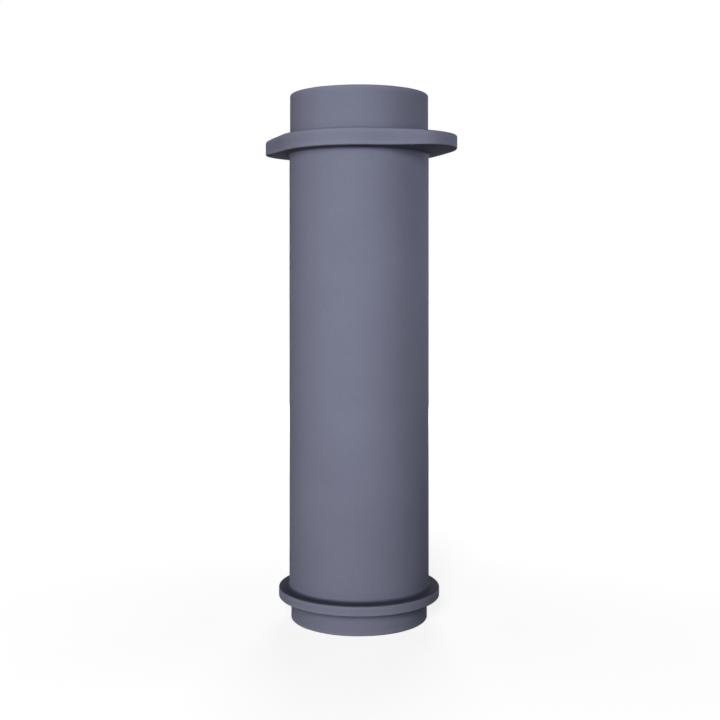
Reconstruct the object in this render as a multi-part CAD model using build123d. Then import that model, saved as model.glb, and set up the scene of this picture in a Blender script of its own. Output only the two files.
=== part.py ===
"""Cast iron chimney pipe: one grey iron casting with an eared flange and a collar ring.

Millimetres. The origin is the centre of the bottom end, +Z runs up the pipe,
and the ears of the flange lie along X.
"""
import os

from build123d import *

# Driving dimensions

# Tube
total_length = 500.0            # bottom end to top end
bore_diameter = 115.0           # flue way, straight through
barrel_wall = 9.5

# Spigots, thinner than the barrel so that they slip into a socket
lower_spigot_wall = 7.75
lower_spigot_length = 21.0      # bottom end to the underside of the collar
upper_spigot_wall = 9.0
upper_spigot_length = 40.0      # top of the flange to the top end

# Collar ring
collar_projection = 10.0        # how far it stands out from the barrel
collar_thickness = 10.0

# Flange with two ears
flange_thickness = 16.5         # round the tube, where both its faces are flat
hub_projection = 10.5           # the round middle stands out this far from the barrel
ear_projection = 32.5           # an ear's tip stands out this far from the barrel
ear_end_radius = 44.5
ear_tip_thickness = 12.5        # outside the flats both faces close in evenly to this
flat_margin = 3.0               # the flats end this far inside the rim of the hub

# Blends and broken edges
flange_root_radius = 3.0        # underside of the flange into the barrel
flange_neck_radius = 2.5        # top of the flange into the upper spigot
flange_rim_radius = 1.5         # top rim of the flange
collar_root_radius = 3.0        # top of the collar into the barrel
collar_chamfer = 1.0            # both rims of the collar
spigot_chamfer = 1.0            # lead-in on the outside of both ends
bore_chamfer = 1.0              # inside of both ends

# The flange is turned as a full disc, this much past the ears, before its plan is cut
disc_margin = 6.0

# Levels and radii that follow from them
collar_bottom_z = lower_spigot_length
collar_top_z = collar_bottom_z + collar_thickness
flange_top_z = total_length - upper_spigot_length
flange_bottom_z = flange_top_z - flange_thickness
bore_radius = bore_diameter / 2
barrel_radius = bore_radius + barrel_wall
lower_spigot_radius = bore_radius + lower_spigot_wall
upper_spigot_radius = bore_radius + upper_spigot_wall
collar_radius = barrel_radius + collar_projection
hub_radius = barrel_radius + hub_projection
tip_radius = barrel_radius + ear_projection
ear_centre_x = tip_radius - ear_end_radius
disc_radius = tip_radius + disc_margin
flat_radius = hub_radius - flat_margin
ear_slope = (flange_thickness - ear_tip_thickness) / 2 / (tip_radius - flat_radius)


def ear_relief(radius):
    """How far each face of the flange lies inside its flat, at a distance from the axis."""
    return ear_slope * (radius - flat_radius)


def turned_blank():
    """The casting as if it were all round: the flange is still a full disc."""
    corners = [
        # distance from the axis, height, rounding
        (bore_radius, bore_chamfer, 0),
        (bore_radius + bore_chamfer, 0, 0),
        (lower_spigot_radius - spigot_chamfer, 0, 0),
        (lower_spigot_radius, spigot_chamfer, 0),
        (lower_spigot_radius, collar_bottom_z, 0),
        (collar_radius - collar_chamfer, collar_bottom_z, 0),
        (collar_radius, collar_bottom_z + collar_chamfer, 0),
        (collar_radius, collar_top_z - collar_chamfer, 0),
        (collar_radius - collar_chamfer, collar_top_z, 0),
        (barrel_radius, collar_top_z, collar_root_radius),
        (barrel_radius, flange_bottom_z, flange_root_radius),
        (flat_radius, flange_bottom_z, 0),
        (disc_radius, flange_bottom_z + ear_relief(disc_radius), 0),
        (disc_radius, flange_top_z - ear_relief(disc_radius), 0),
        (flat_radius, flange_top_z, 0),
        (upper_spigot_radius, flange_top_z, flange_neck_radius),
        (upper_spigot_radius, total_length - spigot_chamfer, 0),
        (upper_spigot_radius - spigot_chamfer, total_length, 0),
        (bore_radius + bore_chamfer, total_length, 0),
        (bore_radius, total_length - bore_chamfer, 0),
    ]
    with BuildPart() as blank:
        with BuildSketch(Plane.XZ):
            with BuildLine():
                FilletPolyline(
                    *[(distance, height) for distance, height, _ in corners],
                    radius=[rounding for _, _, rounding in corners],
                    close=True,
                )
            make_face()
        revolve(axis=Axis.Z)
    return blank.part


def flange_plan():
    """Plan of the flange: a round hub between two smaller rounds, joined by tangents."""
    with BuildSketch() as plan:
        Circle(hub_radius)
        with Locations((ear_centre_x, 0), (-ear_centre_x, 0)):
            Circle(ear_end_radius)
        make_hull()
    return plan.sketch


def disc_waste():
    """The part of the disc outside the plan, a little taller than the flange."""
    around = Circle(disc_radius + disc_margin) - flange_plan()
    start = Pos(0, 0, flange_bottom_z - disc_margin)
    return extrude(start * around, amount=flange_thickness + 2 * disc_margin)


def pipe_casting():
    """The blank with its disc cut to the eared plan, and the top rim of the cut rounded."""
    blank = turned_blank()
    waste = disc_waste()
    with BuildPart() as casting:
        add(blank)
        add(waste, mode=Mode.SUBTRACT)
        below_rim = flange_top_z - ear_relief(tip_radius) - flange_rim_radius
        top_rim = casting.edges(Select.NEW).filter_by_position(Axis.Z, below_rim, total_length)
        fillet(top_rim, flange_rim_radius)
    return casting.part


os.makedirs("parts", exist_ok=True)
export_step(pipe_casting(), "parts/pipe_casting.step")
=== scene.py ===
# %% [markdown]
# # A cast iron chimney pipe, finished in Blender
# The pipe is one iron casting: a straight tube with a plain end at the top, a thick
# flange with two ears under it, a thin collar ring near the foot and a short plain end
# below. The CAD model already holds every size, so this lesson adds what a foundry
# and a paint shop add: soft cast edges, a sand-cast skin and a slate grey coat.
# Everything is in metres, and the pipe stands on the floor with its axis on Z.

import math

import bmesh
import bpy
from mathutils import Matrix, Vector, noise


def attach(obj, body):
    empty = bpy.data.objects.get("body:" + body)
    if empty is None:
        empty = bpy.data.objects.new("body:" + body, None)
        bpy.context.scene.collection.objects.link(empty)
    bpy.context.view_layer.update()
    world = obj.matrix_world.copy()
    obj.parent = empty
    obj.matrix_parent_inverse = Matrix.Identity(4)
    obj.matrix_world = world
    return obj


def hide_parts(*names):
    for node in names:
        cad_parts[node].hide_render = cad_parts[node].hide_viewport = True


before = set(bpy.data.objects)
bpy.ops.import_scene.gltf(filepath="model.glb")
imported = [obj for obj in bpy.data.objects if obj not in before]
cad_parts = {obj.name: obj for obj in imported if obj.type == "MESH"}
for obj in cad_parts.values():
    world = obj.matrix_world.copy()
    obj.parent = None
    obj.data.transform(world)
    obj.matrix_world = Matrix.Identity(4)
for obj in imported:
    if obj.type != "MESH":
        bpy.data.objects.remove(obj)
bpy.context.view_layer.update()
print("CAD nodes:", sorted(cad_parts))

# %% [markdown]
# ## The sizes
# The piece modelled here takes the place of the CAD solid, so it has to agree with it.
# The names below are the ones a pattern maker would use, in millimetres, because
# drawings of castings are in millimetres. One factor turns them into metres.

# %% Sizes of the casting
MM = 0.001
LENGTH = 500.0
BORE_R = 57.5
BARREL_R = 67.0
LOWER_SPIGOT_R = 65.25
UPPER_SPIGOT_R = 66.5
COLLAR_R, COLLAR_BOTTOM, COLLAR_TOP = 77.0, 21.0, 31.0
FLANGE_TOP, FLANGE_BOTTOM = 460.0, 443.5
FLANGE_THICKNESS = FLANGE_TOP - FLANGE_BOTTOM
HUB_R, EAR_R, EAR_TIP = 77.5, 44.5, 99.5
EAR_X = EAR_TIP - EAR_R              # the centre of an ear's round end
FLAT_R = 74.5                        # both faces of the flange are flat out to here
TIP_RELIEF = 2.0                     # and each closes in by this much at an ear's tip
EAR_SLOPE = TIP_RELIEF / (EAR_TIP - FLAT_R)


def relief(radius):
    """How far each face of the flange lies inside its flat."""
    return EAR_SLOPE * (radius - FLAT_R)


print("the flange is", FLANGE_THICKNESS, "mm thick at the tube and",
      FLANGE_THICKNESS - 2 * relief(EAR_TIP), "mm at an ear's tip")

# %% [markdown]
# ## The section
# A pipe is a turned shape, so it starts as half of its section: one flat face on the
# XZ plane. No edge of a casting is sharp, because sand can't hold a sharp corner and
# iron doesn't fill one. So each corner is rounded here, in the flat face, where a
# vertex bevel is exact and cheap. Doing it after the turning would mean bevelling long
# rings of edges. The two corners at FLAT_R stay as they are: there each face of the
# flange leaves the flat, and closes in by less than five degrees towards an ear's tip.

# %% Draw the section and round its corners
SECTION = [
    # distance from the axis, height, rounding, segments of the rounding
    (BORE_R, 0.0, 1.4, 3),
    (LOWER_SPIGOT_R, 0.0, 1.2, 4),
    (LOWER_SPIGOT_R, COLLAR_BOTTOM, 1.2, 3),
    (COLLAR_R, COLLAR_BOTTOM, 1.3, 4),
    (COLLAR_R, COLLAR_TOP, 1.8, 5),
    (BARREL_R, COLLAR_TOP, 3.4, 6),
    (BARREL_R, FLANGE_BOTTOM, 3.0, 6),
    (FLAT_R, FLANGE_BOTTOM, 0.0, 0),
    (EAR_TIP, FLANGE_BOTTOM + relief(EAR_TIP), 1.4, 4),
    (EAR_TIP, FLANGE_TOP - relief(EAR_TIP), 1.6, 5),
    (FLAT_R, FLANGE_TOP, 0.0, 0),
    (UPPER_SPIGOT_R, FLANGE_TOP, 2.6, 5),
    (UPPER_SPIGOT_R, LENGTH, 1.5, 4),
    (BORE_R, LENGTH, 1.4, 3),
]

casting = bmesh.new()
corners = [casting.verts.new((r * MM, 0.0, z * MM)) for r, z, _, _ in SECTION]
casting.faces.new(corners)
for corner, (_, _, rounding, segments) in zip(corners, SECTION):
    if segments:
        bmesh.ops.bevel(casting, geom=[corner], offset=rounding * MM, offset_type="OFFSET",
                        segments=segments, profile=0.5, affect="VERTICES", material=-1)
print("the section has", len(casting.verts), "corners after rounding")

# %% [markdown]
# ## Rings along the pipe
# The skin gets a slight unevenness later, and that needs vertices to move. The long
# edges of the section are cut into short ones first: finely outside, where the light
# shows each swell, and coarsely in the bore. Cutting them before the turning takes one
# pass over a few edges instead of one over whole rings of them.

# %% Cut the long edges of the section
OUTER_STEP, BORE_STEP = 2.6, 7.0
ON_BORE = 0.2                        # a corner this near the bore's wall lies on it
casting.faces.ensure_lookup_table()
bmesh.ops.delete(casting, geom=list(casting.faces), context="FACES_ONLY")
for edge in list(casting.edges):
    in_bore = all(v.co.x < (BORE_R + ON_BORE) * MM for v in edge.verts)
    step = (BORE_STEP if in_bore else OUTER_STEP) * MM
    cuts = int(edge.calc_length() / step)
    if cuts:
        bmesh.ops.subdivide_edges(casting, edges=[edge], cuts=cuts)
print("the section has", len(casting.verts), "rings to turn")

# %% [markdown]
# ## Turning
# Spin sweeps the section round Z, as a lathe would see it. The flange is still a full
# disc at this point, as wide as the ears. A Screw modifier would turn it as well, but
# the next steps need the vertices themselves.

# %% Spin the section
AROUND = 168
WELD = 0.01
bmesh.ops.spin(casting, geom=list(casting.verts) + list(casting.edges), cent=(0, 0, 0),
               axis=(0, 0, 1), angle=math.tau, steps=AROUND, use_merge=True)
bmesh.ops.remove_doubles(casting, verts=casting.verts, dist=WELD * MM)
bmesh.ops.recalc_face_normals(casting, faces=casting.faces)
print("turned blank:", len(casting.verts), "vertices,", len(casting.faces), "faces")

# %% [markdown]
# ## The ears
# Seen from above, the flange is a round hub between two smaller rounds, with straight
# sides that touch all three. That outline goes once round the axis without folding
# back, so the disc can be pushed in to it: each vertex of the flange slides along its
# own radius. The rounded rim moves as it is, and only the sloping faces behind it
# shrink. A vertex that moves in along a slope also has to move up or down it, or the
# flange would get too thin round the hub. A boolean cut would give the same outline,
# but with long thin faces that shade badly.


# %% The outline of the flange
def reach(angle):
    """Distance from the axis to the flange's outline in a direction."""
    turn = math.atan2(abs(math.sin(angle)), abs(math.cos(angle)))
    side = math.acos((HUB_R - EAR_R) / EAR_X)           # direction a straight side faces
    ear_end = math.atan2(EAR_R * math.sin(side), EAR_X + EAR_R * math.cos(side))
    if turn >= side:
        return HUB_R
    if turn > ear_end:
        return HUB_R / math.cos(turn - side)
    return EAR_X * math.cos(turn) + math.sqrt(EAR_R ** 2 - (EAR_X * math.sin(turn)) ** 2)


for degrees in (0, 30, 60, 90):
    print(degrees, "degrees from an ear:", round(reach(math.radians(degrees)), 1), "mm")

# %% Push the disc in to the outline
RIM = 1.8                            # width of the rounded rim that keeps its shape
HALF_FLANGE = FLANGE_THICKNESS / 2
FLANGE_MIDDLE = (FLANGE_TOP + FLANGE_BOTTOM) / 2
for v in casting.verts:
    distance = v.co.xy.length / MM
    in_lower_half = v.co.z < LENGTH / 2 * MM            # the collar is there, and stays round
    if distance <= FLAT_R or in_lower_half:
        continue
    move = reach(math.atan2(v.co.y, v.co.x)) - EAR_TIP
    share = min(1.0, (distance - FLAT_R) / (EAR_TIP - RIM - FLAT_R))
    new_distance = distance + move * share
    above_middle = v.co.z / MM - FLANGE_MIDDLE
    lost_relief = relief(distance) - relief(new_distance)
    v.co.z += lost_relief * above_middle / (HALF_FLANGE - relief(distance)) * MM
    v.co.xy *= new_distance / distance
across = [max(v.co[i] for v in casting.verts) * 2 / MM for i in (0, 1)]
print("the flange is", [round(a, 1) for a in across], "mm across")

# %% [markdown]
# ## The unevenness of a sand casting
# A mould is rammed by hand, so a cast face swells and dips by a tenth of a millimetre
# over a few centimetres. It is far too little to see as a shape, but it keeps the
# shading along the barrel from looking ruled. A bump map could imitate it. Real
# geometry is chosen, because it also goes with the mesh into other programs. It is
# read from a noise field at each vertex, and only takes metal away, so the sizes hold.

# %% Move the skin by noise
SWELL, SWELL_SIZE = 0.16, 34.0       # depth and width of the broad swells
RIPPLE, RIPPLE_SIZE = 0.05, 9.0      # and of the smaller ripples
FADE, STEP_UP, LAYERS = 0.7, 2.0, 3  # each finer layer of the swells is weaker
RIPPLE_PLACE = Vector((3.0, 7.0, 11.0))     # keeps the ripples from following the swells
casting.normal_update()
moves = []
for v in casting.verts:
    broad = noise.fractal(v.co / (SWELL_SIZE * MM), FADE, STEP_UP, LAYERS)
    small = noise.noise(v.co / (RIPPLE_SIZE * MM) + RIPPLE_PLACE)
    depth = SWELL * min(1.0, max(0.0, 0.5 + 0.5 * broad)) + RIPPLE * (0.5 + 0.5 * small)
    moves.append((v, -v.normal * depth * MM))
for v, move in moves:
    v.co += move
print("deepest dip:", round(max(m.length for _, m in moves) / MM, 3), "mm")

# %% [markdown]
# ## Where edges are lighter and where shade is painted
# Outer edges are lighter, partly as wear where paint pulls away and partly as a painted
# highlight. The mesh knows where they are: an edge whose faces lean away from each
# other is an outer one. That bend is averaged on each vertex, spread to its neighbours
# and kept as an attribute, which the materials read. Two more attributes come from the
# way a vertex faces: they mark where shade is painted into the coat, on the ledges,
# most on the collar near the floor and less on the flange, and on the undersides. A
# shader could work these out in the render, but attributes also go with the mesh into
# other programs.

# %% Find the outer edges
SPREAD = 2                           # rings of neighbours that a mark reaches
casting.verts.index_update()
casting.verts.ensure_lookup_table()
bend = [max((e.calc_face_angle_signed(0.0) for e in v.link_edges), key=abs)
        for v in casting.verts]
for _ in range(SPREAD):
    bend = [0.5 * bend[v.index] + 0.5 * sum(bend[e.other_vert(v).index] for e in v.link_edges)
            / len(v.link_edges) for v in casting.verts]
print("sharpest outer bend:", round(math.degrees(max(bend)), 1), "degrees")

# %% Mark outer edges, ledges and undersides
FULL_BEND = math.radians(9)          # a vertex that bends this much is fully marked
LEDGE_FROM, LEDGE_RANGE = 0.20, 0.60        # how far a normal points up where ledge shade is painted
UNDER_FROM, UNDER_RANGE = 0.45, 0.35        # and down where underside shade is painted
FLANGE_LEDGE_SHADE = 0.35                   # painted shade on top of the flange, as a share of the collar's
NECK = 0.2                           # the rounding above the flange gets no painted shade from here up


def ramp(value, start, width):
    """0 up to the start, 1 past the width, and straight between them."""
    return min(1.0, max(0.0, (value - start) / width))


def ledge_shade_at(level):
    """How much painted shade a ledge at this height gets."""
    if level < FLANGE_BOTTOM:
        return 1.0
    return FLANGE_LEDGE_SHADE if level < FLANGE_TOP + NECK else 0.0


edge_layer = casting.verts.layers.float.new("outer_edge")
ledge_layer = casting.verts.layers.float.new("ledge")
under_layer = casting.verts.layers.float.new("underside")
casting.normal_update()
for v in casting.verts:
    # Outer edges: lightened in the coat, partly as wear and partly as a painted highlight.
    v[edge_layer] = ramp(bend[v.index], 0.0, FULL_BEND)
    # Ledges and undersides: where painted shade goes into the coat's colour.
    v[ledge_layer] = ledge_shade_at(v.co.z / MM) * ramp(v.normal.z, LEDGE_FROM, LEDGE_RANGE)
    v[under_layer] = ramp(-v.normal.z, UNDER_FROM, UNDER_RANGE)
for layer, places in ((edge_layer, "outer edges"), (ledge_layer, "ledges"),
                      (under_layer, "undersides")):
    print("vertices on", places + ":", sum(v[layer] > 0.5 for v in casting.verts))

# %% [markdown]
# ## The finished mesh
# The bore and the rounding at its two ends get the second material slot, because they
# were formed by a sand core and never see the paint gun straight on. One mesh with two
# slots is chosen over two meshes, because the casting is one piece of iron.

# %% Make the object
BORE_END = 0.9                       # the bore's finish ends this far outside its wall
for face in casting.faces:
    face.smooth = True
    middle = face.calc_center_median()
    face.material_index = int(middle.xy.length < (BORE_R + BORE_END) * MM)
mesh = bpy.data.meshes.new("cast_pipe")
casting.to_mesh(mesh)
casting.free()
pipe = bpy.data.objects.new("cast_pipe", mesh)
bpy.context.scene.collection.objects.link(pipe)
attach(pipe, "root")
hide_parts("pipe_casting")
print("triangles:", sum(len(p.vertices) - 2 for p in mesh.polygons))

# %% [markdown]
# ## Tools for materials
# A material is a graph of nodes. These helpers make a node with its settings, and wire
# its inputs from values or from other nodes' outputs, so that each later cell reads as
# a list of what happens to the surface.


# %% Helpers that make and wire a node
def node(tree, kind, **settings):
    """A new node in a tree, with its settings."""
    made = tree.nodes.new(kind)
    for name, value in settings.items():
        setattr(made, name, value)
    return made


def wire(tree, made, inputs):
    """Give each named input a value, or link it to another node's output."""
    for name, value in inputs.items():
        if isinstance(value, bpy.types.NodeSocket):
            tree.links.new(value, made.inputs[name])
        else:
            made.inputs[name].default_value = value
    return made


print("helpers ready:", node.__name__, wire.__name__)


# %% Helpers for sums, ranges and colours
def math_node(tree, operation, first, second=0.0, third=0.0):
    made = node(tree, "ShaderNodeMath", operation=operation)
    return wire(tree, made, {0: first, 1: second, 2: third}).outputs[0]


def rescale(tree, value, low=0.0, high=1.0, new_low=0.0, new_high=1.0):
    made = node(tree, "ShaderNodeMapRange")
    wire(tree, made, {"Value": value, "From Min": low, "From Max": high,
                      "To Min": new_low, "To Max": new_high})
    return made.outputs["Result"]


def mix_colours(tree, factor, first, second):
    made = node(tree, "ShaderNodeMix", data_type="RGBA")
    wire(tree, made, {0: factor, 6: first, 7: second})
    return made.outputs[2]


def tint(tree, colour, mask, tone, share):
    """Mix a tone into a colour where a mask is, by a share of the mask."""
    return mix_colours(tree, math_node(tree, "MULTIPLY", mask, share), colour, tone)


print("helpers ready:", ", ".join(f.__name__ for f in (math_node, rescale, mix_colours, tint)))

# %% [markdown]
# ## The sand-cast skin
# Iron poured against sand copies the grains: a fine even tooth, with small pits where
# a grain broke off and broader clouds where the skin cooled at another rate. The paint
# and the bare bore both show it, at different strengths, so it is one node group with
# named inputs and outputs, built once. It gives only masks and a height. The shader
# itself stays in each material.

# %% The skin group and its sockets
skin = bpy.data.node_groups.new("sand_cast_skin", "ShaderNodeTree")
for name in ("Grain Size", "Pit Share"):
    skin.interface.new_socket(name=name, socket_type="NodeSocketFloat", in_out="INPUT")
for name in ("Grain", "Speckle", "Clouds", "Pits", "Height"):
    skin.interface.new_socket(name=name, socket_type="NodeSocketFloat", in_out="OUTPUT")
group_in = node(skin, "NodeGroupInput")
group_out = node(skin, "NodeGroupOutput")
place = node(skin, "ShaderNodeTexCoord").outputs["Object"]
print("skin sockets:", [s.name for s in skin.interface.items_tree])

# %% Grain, speckle and clouds
SPECKLE_SCALE = 0.21                 # the speckle is about five times as wide as the grain
CLOUD_SCALE = 17.0                   # clouds of about 6 cm


def noise_node(scale, detail, roughness):
    """Fractal noise in the skin group, fixed to the piece."""
    made = node(skin, "ShaderNodeTexNoise")
    wire(skin, made, {"Vector": place, "Scale": scale, "Detail": detail,
                      "Roughness": roughness})
    return made.outputs["Fac"]


fine_scale = math_node(skin, "DIVIDE", 1.0, group_in.outputs["Grain Size"])
grain = rescale(skin, noise_node(fine_scale, 3.0, 0.65), 0.28, 0.72)
tooth = noise_node(math_node(skin, "MULTIPLY", fine_scale, SPECKLE_SCALE), 2.0, 0.5)
speckle = rescale(skin, tooth, 0.35, 0.65)
clouds = rescale(skin, noise_node(CLOUD_SCALE, 4.0, 0.55), 0.3, 0.7)
print("skin group so far:", len(skin.nodes), "nodes")

# %% Pits and height
PIT_SCALE = 210.0                    # one place for a pit every 5 mm
TOOTH_HEIGHT, GRAIN_HEIGHT, PIT_DEPTH = 0.9, 0.5, 0.5
cells = wire(skin, node(skin, "ShaderNodeTexVoronoi"), {"Vector": place, "Scale": PIT_SCALE})
pit_here = rescale(skin, cells.outputs["Distance"], 0.10, 0.26, 1.0, 0.0)
chosen = node(skin, "ShaderNodeSeparateColor")
skin.links.new(cells.outputs["Color"], chosen.inputs[0])
picked = math_node(skin, "LESS_THAN", chosen.outputs[0], group_in.outputs["Pit Share"])
pits = math_node(skin, "MULTIPLY", pit_here, picked)
height = math_node(skin, "MULTIPLY_ADD", tooth, TOOTH_HEIGHT,
                   math_node(skin, "MULTIPLY", grain, GRAIN_HEIGHT))
height = math_node(skin, "SUBTRACT", height, math_node(skin, "MULTIPLY", pits, PIT_DEPTH))
wire(skin, group_out, {"Grain": grain, "Speckle": speckle, "Clouds": clouds, "Pits": pits,
                       "Height": height})
print("skin group:", len(skin.nodes), "nodes")

# %% [markdown]
# ## The painted outside
# The coat is a matt slate grey with a touch of blue. Its colour drifts a little in
# broad clouds, the grain breaks it up finely, edges are lighter, partly as wear and
# partly as a painted highlight, and the ledges and undersides are darker with painted
# shade. Roughness follows the same masks, and the height goes through a Bump node,
# because grains of less than a millimetre would need millions of faces as geometry.

# %% Colours of the coat, and what a material reads
SLATE = (0.181, 0.193, 0.262, 1.0)
SLATE_DARK = (0.161, 0.171, 0.236, 1.0)
GRAIN_LIGHT = (0.228, 0.240, 0.318, 1.0)
# A pale grey for outer edges: partly wear, partly a painted highlight.
EDGE_GREY = (0.300, 0.312, 0.385, 1.0)
# A near-black grey: dust in pits, and painted shade on ledges and undersides.
DUST_AND_SHADE_GREY = (0.030, 0.032, 0.050, 1.0)


def use_skin(tree, grain_size, pit_share):
    """The skin group's outputs, in a material. The grain size is in metres."""
    made = node(tree, "ShaderNodeGroup", node_tree=skin)
    return wire(tree, made, {"Grain Size": grain_size, "Pit Share": pit_share}).outputs


def attribute(tree, name):
    return node(tree, "ShaderNodeAttribute", attribute_name=name).outputs["Fac"]


def bump_of(tree, height, distance, strength):
    made = node(tree, "ShaderNodeBump")
    wire(tree, made, {"Height": height, "Distance": distance, "Strength": strength})
    return made.outputs["Normal"]


print("coat colours:", SLATE[:3], "to", SLATE_DARK[:3])

# %% Material of the outside
EDGE_POLISH, LEDGE_UNDERSIDE_ROUGHNESS = 0.10, 0.25
outside = bpy.data.materials.new("slate_painted_iron")
outside.use_nodes = True
tree = outside.node_tree
shader = tree.nodes["Principled BSDF"]
out = use_skin(tree, grain_size=0.0007, pit_share=0.05)
wear_and_highlight = math_node(tree, "MULTIPLY", attribute(tree, "outer_edge"),
                 rescale(tree, out["Grain"], 0.2, 0.8, 0.25, 0.75))
ledge, underside = attribute(tree, "ledge"), attribute(tree, "underside")
colour = mix_colours(tree, out["Clouds"], SLATE_DARK, SLATE)
colour = tint(tree, colour, out["Grain"], GRAIN_LIGHT, share=0.16)
colour = tint(tree, colour, out["Speckle"], GRAIN_LIGHT, share=0.14)
colour = tint(tree, colour, out["Pits"], DUST_AND_SHADE_GREY, share=0.10)
# Outer edges lighten: partly wear, partly a painted highlight.
colour = tint(tree, colour, wear_and_highlight, EDGE_GREY, share=0.6)
# Painted shade: ledges darken towards near-black, most on the collar.
colour = tint(tree, colour, ledge, DUST_AND_SHADE_GREY, share=0.85)
# Painted shade: undersides darken towards near-black.
colour = tint(tree, colour, underside, DUST_AND_SHADE_GREY, share=0.70)
roughness = rescale(tree, out["Grain"], new_low=0.68, new_high=0.80)
roughness = math_node(tree, "SUBTRACT", roughness,
                      math_node(tree, "MULTIPLY", wear_and_highlight, EDGE_POLISH))
ledge_or_underside = math_node(tree, "MAXIMUM", ledge, underside)
roughness = math_node(tree, "MULTIPLY_ADD", ledge_or_underside, LEDGE_UNDERSIDE_ROUGHNESS, roughness)
wire(tree, shader, {"Base Color": colour, "Roughness": roughness,
                    "Normal": bump_of(tree, out["Height"], distance=0.00012, strength=0.5),
                    "Metallic": 0.0, "Specular IOR Level": 0.05})
pipe.data.materials.append(outside)
print(outside.name, "has", len(tree.nodes), "nodes")

# %% [markdown]
# ## The bore
# The inside is bare iron from a sand core: darker and coarser than the coat, and a
# grey with hardly any blue. It uses the same skin group with larger grains and more
# pits, so the two finishes look like one casting.

# %% Material of the bore
IRON_DARK = (0.085, 0.084, 0.090, 1.0)
IRON = (0.130, 0.129, 0.138, 1.0)
IRON_LIGHT = (0.190, 0.187, 0.190, 1.0)
IRON_PIT = (0.030, 0.029, 0.030, 1.0)
bore = bpy.data.materials.new("bare_cored_iron")
bore.use_nodes = True
tree = bore.node_tree
shader = tree.nodes["Principled BSDF"]
out = use_skin(tree, grain_size=0.0014, pit_share=0.3)
colour = mix_colours(tree, out["Clouds"], IRON_DARK, IRON)
colour = tint(tree, colour, out["Grain"], IRON_LIGHT, share=0.3)
colour = tint(tree, colour, out["Pits"], IRON_PIT, share=0.6)
wire(tree, shader, {"Base Color": colour,
                    "Roughness": rescale(tree, out["Grain"], new_low=0.60, new_high=0.78),
                    "Normal": bump_of(tree, out["Height"], distance=0.0003, strength=0.7),
                    "Metallic": 0.0, "Specular IOR Level": 0.35})
pipe.data.materials.append(bore)
print(bore.name, "has", len(tree.nodes), "nodes")

# %% [markdown]
# ## The camera
# The upright edges of the pipe stay parallel in the picture, so the camera looks level.
# The curve of each rim gives its distance, about eight pipe widths, and the height
# where rims turn from curving up to curving down gives its own height. A level camera
# that isn't at mid-height needs a little shift to frame the whole pipe.

# %% Place the camera
IMAGE = 720
FOCAL_PIXELS = 1121.8
CAMERA_DISTANCE, CAMERA_HEIGHT, CAMERA_TURN = 1.080, 0.3189, 30.0
HORIZON_ROW, AXIS_COLUMN = 284.3, 359.1
lens = bpy.data.cameras.new("camera")
lens.sensor_width = 36.0
lens.lens = FOCAL_PIXELS / IMAGE * lens.sensor_width
lens.shift_x = (IMAGE / 2 - AXIS_COLUMN) / IMAGE
lens.shift_y = (HORIZON_ROW - IMAGE / 2) / IMAGE
camera = bpy.data.objects.new("camera", lens)
turn = math.radians(CAMERA_TURN)
camera.location = (CAMERA_DISTANCE * math.sin(turn), -CAMERA_DISTANCE * math.cos(turn),
                   CAMERA_HEIGHT)
camera.rotation_euler = (math.radians(90), 0.0, turn)
bpy.context.scene.collection.objects.link(camera)
bpy.context.scene.camera = camera
print("lens, mm:", round(lens.lens, 1), "shift:", round(lens.shift_x, 4), round(lens.shift_y, 4))

# %% [markdown]
# ## The lamps
# A product picture of a dark casting is lit from the front left, and by little from
# elsewhere, so that both sides of the tube fall away into shade. The key light hangs
# above the flange and has a grid in front, which is what a small spread stands for:
# it puts the flange's shadow on the barrel and leaves its underside dark. A low soft
# box keeps the foot as bright as the top, a narrow one draws a faint line down the
# right edge, and the last lights the back. Area lamps are chosen, because a soft box
# is a bright rectangle, and its size sets how soft a shadow is.


# %% Soft boxes
def soft_lamp(name, turn, height, distance, size, power, aim=0.25, spread=180.0,
              colour=(1.0, 1.0, 1.0)):
    """A soft box that looks at a height on the pipe's axis. Turn 0 is the camera's side."""
    data = bpy.data.lights.new(name, "AREA")
    data.shape = "RECTANGLE"
    data.size, data.size_y = size
    data.energy = power
    data.spread = math.radians(spread)
    data.color = colour
    lamp = bpy.data.objects.new(name, data)
    direction = math.radians(CAMERA_TURN + turn)
    lamp.location = (distance * math.sin(direction), -distance * math.cos(direction), height)
    towards_pipe = Vector((0, 0, aim)) - lamp.location
    lamp.rotation_euler = towards_pipe.to_track_quat("-Z", "Y").to_euler()
    bpy.context.scene.collection.objects.link(lamp)
    print("lamp", name, "at", [round(c, 2) for c in lamp.location])


WARM, COOL, BLUE = (1.0, 0.96, 0.93), (0.96, 0.955, 1.0), (0.84, 0.88, 1.0)
soft_lamp("key", turn=-7, height=0.80, distance=1.6, size=(0.4, 0.6), power=1.95,
          aim=0.30, spread=56.0, colour=COOL)
soft_lamp("low_left", turn=-28, height=0.20, distance=1.6, size=(0.5, 0.35), power=7.8,
          aim=0.10, colour=WARM)
soft_lamp("right_rim", turn=124, height=0.42, distance=1.3, size=(0.3, 0.4), power=0.30,
          aim=0.36, spread=30.0, colour=BLUE)
soft_lamp("back", turn=175, height=0.6, distance=1.8, size=(0.8, 1.0), power=20.0,
          colour=COOL)

# %% [markdown]
# ## The floor
# The floor is a plain white disc that carries the pipe's shadow. A white floor lit
# white would throw light up on the undersides, so its white is for rays from the
# camera and for reflections only: they see it glow, and all other light finds a grey
# that gives little back. Near the pipe the glow is weaker, so that the foot stands on
# a faint shade and doesn't float.

# %% The floor's disc
FLOOR_RADIUS = 14.0
floor_mesh = bmesh.new()
bmesh.ops.create_circle(floor_mesh, cap_ends=True, segments=96, radius=FLOOR_RADIUS)
floor_data = bpy.data.meshes.new("floor")
floor_mesh.to_mesh(floor_data)
floor_mesh.free()
floor = bpy.data.objects.new("floor", floor_data)
bpy.context.scene.collection.objects.link(floor)
print("floor radius, metres:", FLOOR_RADIUS)


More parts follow.
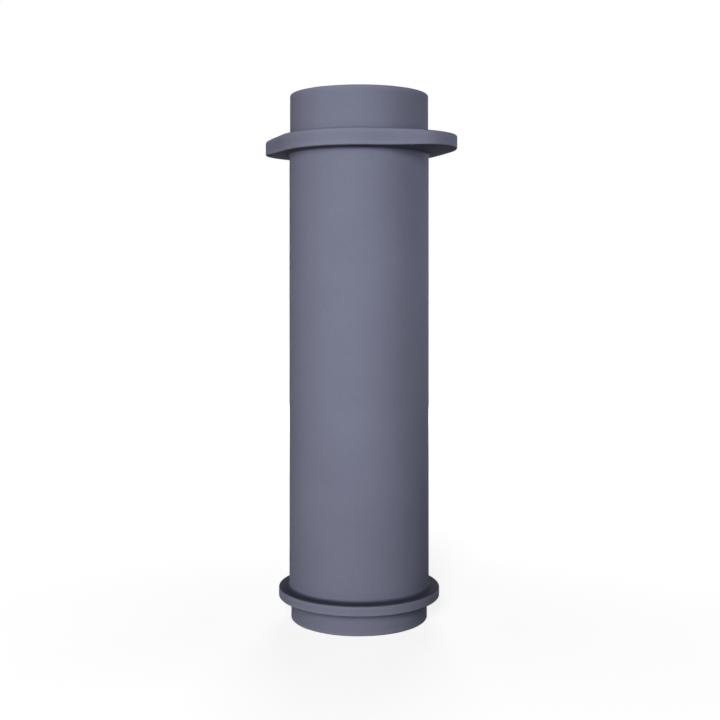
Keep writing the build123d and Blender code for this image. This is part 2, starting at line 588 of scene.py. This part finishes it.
# %% Material of the floor
def seen_directly(tree):
    """1 for rays from the camera and for reflected or refracted ones, 0 for soft light."""
    path = node(tree, "ShaderNodeLightPath").outputs
    seen = math_node(tree, "MAXIMUM", path["Is Camera Ray"], path["Is Glossy Ray"])
    return math_node(tree, "MAXIMUM", seen, path["Is Transmission Ray"])


FLOOR_UNSEEN, FLOOR_SEEN = (0.30, 0.30, 0.30, 1.0), (0.45, 0.45, 0.45, 1.0)
GLOW_NEAR, GLOW_FAR = 0.78, 1.0
NEAR, FAR = 0.15, 0.9                # metres from the pipe's axis
floor_material = bpy.data.materials.new("white_floor")
floor_material.use_nodes = True
tree = floor_material.node_tree
seen = seen_directly(tree)
from_axis = node(tree, "ShaderNodeVectorMath", operation="LENGTH")
wire(tree, from_axis, {0: node(tree, "ShaderNodeTexCoord").outputs["Object"]})
glow = rescale(tree, from_axis.outputs["Value"], NEAR, FAR, GLOW_NEAR, GLOW_FAR)
wire(tree, tree.nodes["Principled BSDF"], {
    "Base Color": mix_colours(tree, seen, FLOOR_UNSEEN, FLOOR_SEEN),
    "Roughness": 0.9, "Specular IOR Level": 0.0,
    "Emission Color": (1.0, 1.0, 1.0, 1.0),
    "Emission Strength": math_node(tree, "MULTIPLY", seen, glow),
})
floor.data.materials.append(floor_material)
print(floor_material.name, "has", len(tree.nodes), "nodes")

# %% [markdown]
# ## The surroundings
# A white room all round would light the pipe from every side and wash out its shading.
# So the surroundings are white in the same way as the floor: to the camera and in
# reflections, with only a hundredth of that as light. The Standard view then shows
# each colour as it was mixed, and white stays white.

# %% Surroundings and view
SKY_LIGHT = 0.01
world = bpy.data.worlds.new("studio")
bpy.context.scene.world = world
world.use_nodes = True
tree = world.node_tree
wire(tree, tree.nodes["Background"], {
    "Color": (1.0, 1.0, 1.0, 1.0),
    "Strength": math_node(tree, "MULTIPLY_ADD", seen_directly(tree), 1.0 - SKY_LIGHT, SKY_LIGHT),
})
bpy.context.scene.view_settings.view_transform = "Standard"
print(world.name, "has", len(tree.nodes), "nodes, and the view is",
      bpy.context.scene.view_settings.view_transform)
